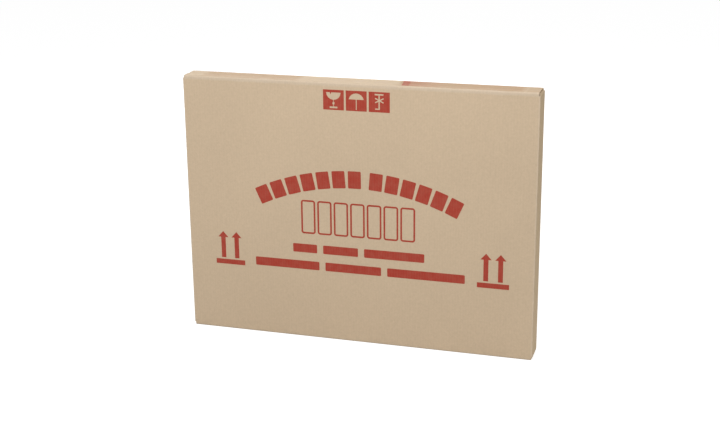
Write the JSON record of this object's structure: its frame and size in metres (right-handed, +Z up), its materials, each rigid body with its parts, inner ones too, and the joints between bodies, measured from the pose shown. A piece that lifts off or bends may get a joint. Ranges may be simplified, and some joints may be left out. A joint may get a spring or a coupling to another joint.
{
  "type": "picture frame carton",
  "caption": "Tall, narrow corrugated shipping carton for a framed picture or mirror, with hinged top flaps and plain printed marks on its front.",
  "frame": {"origin": "middle of the carton's footprint, on the surface it stands on", "axes": "+Z up, +X along the carton's length to the right of the printed front, and the printed front faces -Y"},
  "size_m": [1.04, 0.0752, 0.7753],
  "materials": {
    "kraft_board": "matte",
    "red_ink": "matte",
    "packing_tape": "satin"
  },
  "bodies": {
    "carton": {"arch_block_1": "red_ink", "arch_block_10": "red_ink", "arch_block_11": "red_ink", "arch_block_12": "red_ink", "arch_block_13": "red_ink", "arch_block_2": "red_ink", "arch_block_3": "red_ink", "arch_block_4": "red_ink", "arch_block_5": "red_ink", "arch_block_6": "red_ink", "arch_block_7": "red_ink", "arch_block_8": "red_ink", "arch_block_9": "red_ink", "bottom_tape": "packing_tape", "carton_body": "kraft_board", "handling_mark_glass": "red_ink", "handling_mark_hook": "red_ink", "handling_mark_umbrella": "red_ink", "left_arrow_1": "red_ink", "left_arrow_2": "red_ink", "left_arrow_bar": "red_ink", "lower_bar_1": "red_ink", "lower_bar_2": "red_ink", "lower_bar_3": "red_ink", "outline_block_1": "red_ink", "outline_block_2": "red_ink", "outline_block_3": "red_ink", "outline_block_4": "red_ink", "outline_block_5": "red_ink", "outline_block_6": "red_ink", "outline_block_7": "red_ink", "right_arrow_1": "red_ink", "right_arrow_2": "red_ink", "right_arrow_bar": "red_ink", "upper_bar_1": "red_ink", "upper_bar_2": "red_ink", "upper_bar_3": "red_ink"},
    "front_flap": {"front_top_flap": "kraft_board", "front_flap_mark": "red_ink"},
    "rear_flap": {"rear_top_flap": "kraft_board", "rear_flap_mark": "red_ink"}
  },
  "joints": [
    {"name": "front_flap_hinge", "type": "hinge", "parent": "carton", "child": "front_flap", "pos_m": [0, -0.0375, 0.775], "axis": [1, 0, 0], "range_deg": [0, 175]},
    {"name": "rear_flap_hinge", "type": "hinge", "parent": "carton", "child": "rear_flap", "pos_m": [0, 0.0375, 0.775], "axis": [-1, 0, 0], "range_deg": [0, 175]}
  ]
}
